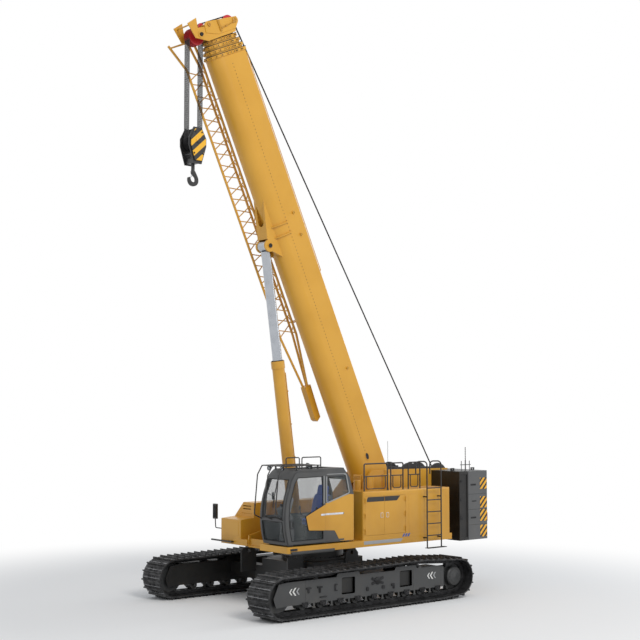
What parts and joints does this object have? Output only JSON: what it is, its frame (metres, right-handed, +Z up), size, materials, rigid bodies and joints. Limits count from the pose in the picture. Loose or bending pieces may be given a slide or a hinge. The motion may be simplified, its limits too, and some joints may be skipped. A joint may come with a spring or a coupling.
{
  "type": "crawler crane",
  "caption": "Telescopic boom crane on crawler tracks, with a slewing superstructure, sliding cab door, luffing cylinder, stowed lattice jib and a hook block hanging from its head.",
  "frame": {"origin": "on the ground, midway between the two tracks and midway along them", "axes": "+X the way the crane travels, +Y its left side, +Z up"},
  "size_m": [8.6955, 4.99, 13.9122],
  "materials": {
    "yellow_paint": "gloss yellow paint with light dust",
    "dark_paint": "dark grey paint",
    "track_steel": "worn dark track steel",
    "bare_steel": "machined steel, lightly oiled",
    "rod_chrome": "hard chrome",
    "cast_block": "painted casting",
    "sheave_red": "red cast nylon",
    "wire_rope": "greased wire rope",
    "rail_black": "black paint",
    "black_plastic": "black plastic",
    "seat_fabric": "blue woven cover",
    "window_glass": "clear glass"
  },
  "bodies": {
    "undercarriage": {"carbody": "dark_paint", "slew_ring": "bare_steel"},
    "crawler_left": {"track_left": "track_steel", "idler_left": "dark_paint", "sprocket_left": "dark_paint", "track_rollers_left": "dark_paint", "track_frame_left": "dark_paint"},
    "crawler_right": {"track_right": "track_steel", "idler_right": "dark_paint", "sprocket_right": "dark_paint", "track_rollers_right": "dark_paint", "track_frame_right": "dark_paint"},
    "superstructure": {"superstructure_frame": "yellow_paint", "side_decks": "yellow_paint", "cab_shell": "dark_paint", "cab_glass": "window_glass", "cab_interior": "seat_fabric", "engine_housing": "yellow_paint", "engine": "cast_block", "tank_housing": "yellow_paint", "right_mirror": "black_plastic", "counterweight": "dark_paint", "access_ladder": "rail_black", "hood_handrails": "rail_black", "cab_guards": "rail_black"},
    "cab_door_leaf": {"cab_door": "dark_paint", "cab_door_glass": "window_glass"},
    "engine_door_front_leaf": {"engine_door_front": "yellow_paint"},
    "engine_door_rear_leaf": {"engine_door_rear": "yellow_paint"},
    "main_winch": {"main_winch_drum": "bare_steel"},
    "auxiliary_winch": {"auxiliary_winch_drum": "bare_steel"},
    "boom": {"boom_base": "yellow_paint", "lattice_jib": "yellow_paint"},
    "section_2": {"boom_section_2": "yellow_paint"},
    "section_3": {"boom_section_3": "yellow_paint"},
    "section_4": {"boom_section_4": "yellow_paint"},
    "section_5": {"boom_section_5": "yellow_paint", "boom_head": "yellow_paint", "guide_sheaves": "sheave_red"},
    "head_sheave_set": {"head_sheaves": "sheave_red"},
    "plumb_axle": {"head_axle": "bare_steel", "hoist_ropes": "wire_rope"},
    "hook_block_frame": {"hook_block": "yellow_paint"},
    "block_sheave_set": {"hook_block_sheaves": "sheave_red"},
    "swivel_hook": {"hook": "bare_steel"},
    "luff_rod": {"luff_cylinder_rod": "rod_chrome"},
    "luff_barrel": {"luff_cylinder_barrel": "yellow_paint"}
  },
  "joints": [
    {"name": "slew", "type": "hinge", "parent": "undercarriage", "child": "superstructure", "pos_m": [-0.16, 0, 1.2], "axis": [0, 0, 1], "continuous": true},
    {"name": "gauge_left", "type": "slide", "parent": "undercarriage", "child": "crawler_left", "axis": [0, 1, 0], "range_m": [-0.55, 0]},
    {"name": "gauge_right", "type": "slide", "parent": "undercarriage", "child": "crawler_right", "axis": [0, 1, 0], "range_m": [0, 0.55]},
    {"name": "cab_door_slide", "type": "slide", "parent": "superstructure", "child": "cab_door_leaf", "axis": [-1, 0, 0], "range_m": [0, 0.62]},
    {"name": "engine_door_front_hinge", "type": "hinge", "parent": "superstructure", "child": "engine_door_front_leaf", "pos_m": [-0.51, 1.518, 2.02], "axis": [0, 0, -1], "range_deg": [0, 100]},
    {"name": "engine_door_rear_hinge", "type": "hinge", "parent": "superstructure", "child": "engine_door_rear_leaf", "pos_m": [-1.83, 1.518, 2.02], "axis": [0, 0, 1], "range_deg": [0, 100]},
    {"name": "main_winch_spin", "type": "hinge", "parent": "superstructure", "child": "main_winch", "pos_m": [-4.09, 0, 2.81], "axis": [0, 1, 0], "continuous": true},
    {"name": "auxiliary_winch_spin", "type": "hinge", "parent": "superstructure", "child": "auxiliary_winch", "pos_m": [-3.04, 0, 2.845], "axis": [0, 1, 0], "continuous": true},
    {"name": "boom_luff", "type": "hinge", "parent": "superstructure", "child": "boom", "pos_m": [-2.14, 0, 2.7], "axis": [0, -1, 0], "range_deg": [-65.6, 14.4]},
    {"name": "section_2_slide", "type": "slide", "parent": "boom", "child": "section_2", "axis": [0.4131, 0, 0.9107], "range_m": [0, 7.6]},
    {"name": "section_3_slide", "type": "slide", "parent": "section_2", "child": "section_3", "axis": [0.4131, 0, 0.9107], "range_m": [0, 7.6]},
    {"name": "section_4_slide", "type": "slide", "parent": "section_3", "child": "section_4", "axis": [0.4131, 0, 0.9107], "range_m": [0, 7.6]},
    {"name": "section_5_slide", "type": "slide", "parent": "section_4", "child": "section_5", "axis": [0.4131, 0, 0.9107], "range_m": [0, 7.6]},
    {"name": "head_sheave_spin", "type": "hinge", "parent": "section_5", "child": "head_sheave_set", "pos_m": [3.46006, 0, 13.18618], "axis": [0, 1, 0], "continuous": true},
    {"name": "plumb_axle_turn", "type": "hinge", "parent": "section_5", "child": "plumb_axle", "pos_m": [3.46006, 0, 13.18618], "axis": [0, -1, 0], "range_deg": [-14.4, 65.6]},
    {"name": "hook_hoist", "type": "slide", "parent": "plumb_axle", "child": "hook_block_frame", "axis": [0, 0, -1], "range_m": [-1.3, 9.4], "deforming": ["hoist_ropes"]},
    {"name": "block_sheave_spin", "type": "hinge", "parent": "hook_block_frame", "child": "block_sheave_set", "pos_m": [3.46006, 0, 10.72618], "axis": [0, 1, 0], "continuous": true},
    {"name": "hook_swivel", "type": "hinge", "parent": "hook_block_frame", "child": "swivel_hook", "pos_m": [3.46006, 0, 10.18618], "axis": [0, 0, 1], "continuous": true},
    {"name": "rod_eye_turn", "type": "hinge", "parent": "boom", "child": "luff_rod", "pos_m": [1.35287, 0, 8.46828], "axis": [0, -1, 0], "range_deg": [-13, 3]},
    {"name": "cylinder_stroke", "type": "slide", "parent": "luff_rod", "child": "luff_barrel", "axis": [-0.1381, 0, -0.9904], "range_m": [-2.53, 0.56]}
  ],
  "couplings": [
    {"joint": "section_3_slide", "follows": "section_2_slide", "ratio": 1},
    {"joint": "section_4_slide", "follows": "section_2_slide", "ratio": 1},
    {"joint": "section_5_slide", "follows": "section_2_slide", "ratio": 1},
    {"joint": "plumb_axle_turn", "follows": "boom_luff", "ratio": -1},
    {"joint": "rod_eye_turn", "follows": "boom_luff", "ratio": 0.195},
    {"joint": "cylinder_stroke", "follows": "boom_luff", "m_per_rad": 2.2}
  ]
}
